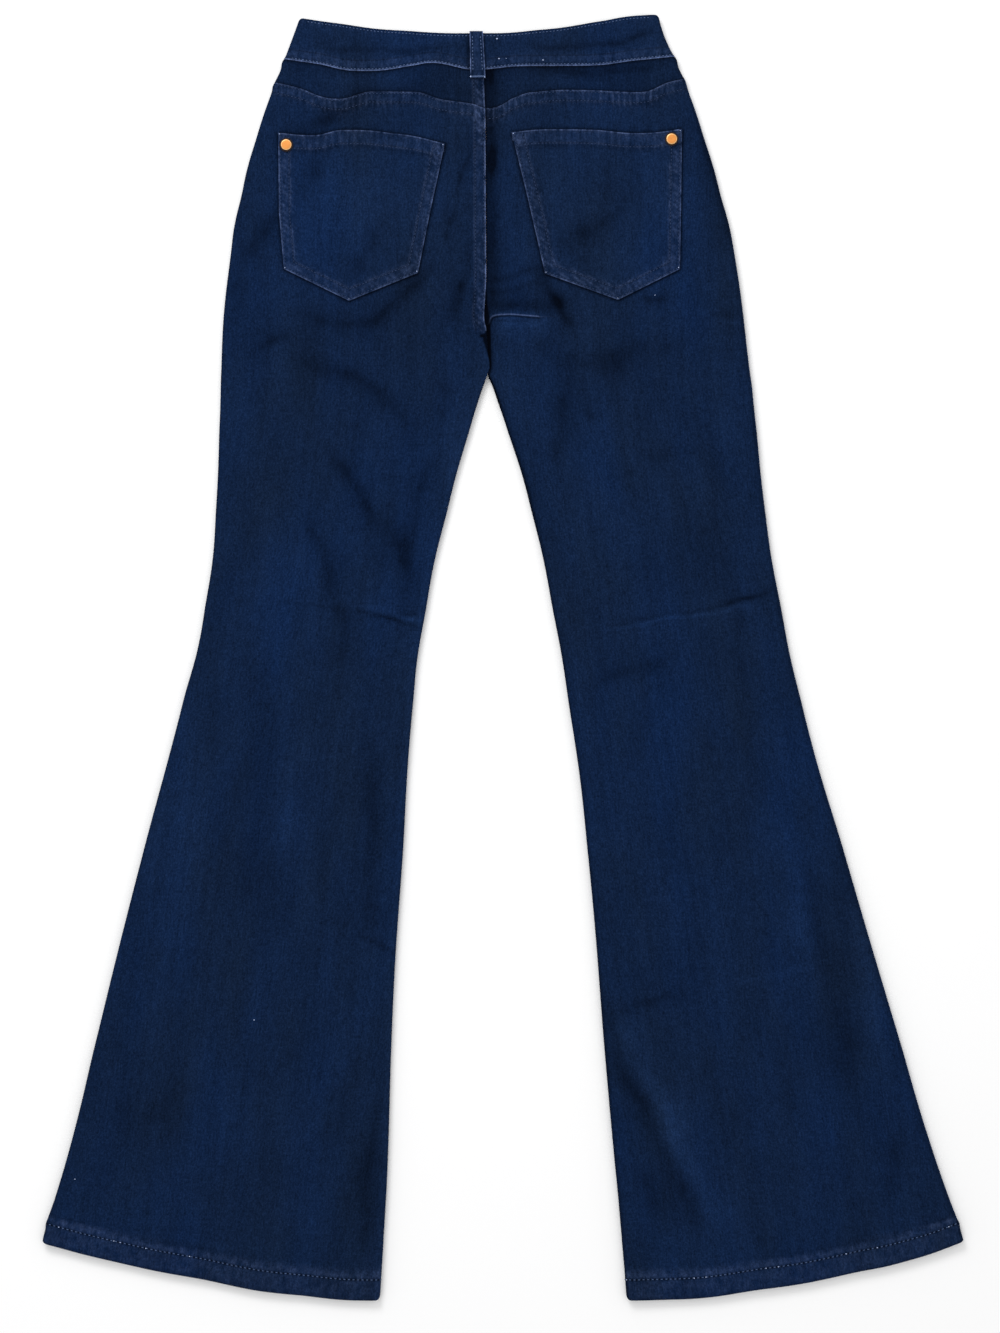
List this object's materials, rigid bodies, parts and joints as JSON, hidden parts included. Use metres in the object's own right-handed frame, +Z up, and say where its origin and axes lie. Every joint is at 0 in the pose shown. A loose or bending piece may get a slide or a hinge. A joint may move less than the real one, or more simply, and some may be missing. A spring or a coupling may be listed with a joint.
{
  "type": "flared jeans",
  "caption": "Flared jeans in dark stretch denim, laid flat face down, with shaped yokes, patch back pockets and a felled centre back seam.",
  "frame": {"origin": "middle of the jeans' bounding box, on the surface that they lie on", "axes": "+Y towards the waist, +Z up out of the surface and out of the back of the jeans, +X towards the wearer's right"},
  "size_m": [0.8123, 1.1306, 0.0087],
  "materials": {
    "denim": "dark indigo stretch denim, matt twill",
    "denim_folded": "dark indigo stretch denim, folded and topstitched, paler along worn edges",
    "zip_tape": "woven tape with moulded teeth",
    "copper": "plain satin copper"
  },
  "bodies": {
    "root": {"back_leg_left": "denim", "back_leg_right": "denim", "front_leg_left": "denim", "front_leg_right": "denim", "yoke_left": "denim", "yoke_right": "denim", "waistband_back": "denim_folded", "waistband_front_left": "denim_folded", "waistband_front_right": "denim_folded", "back_pocket_left": "denim_folded", "back_pocket_right": "denim_folded", "belt_loop_back": "denim_folded", "fly": "denim", "zip": "zip_tape", "waist_button": "copper", "rivet_left": "copper", "rivet_right": "copper"}
  },
  "joints": []
}
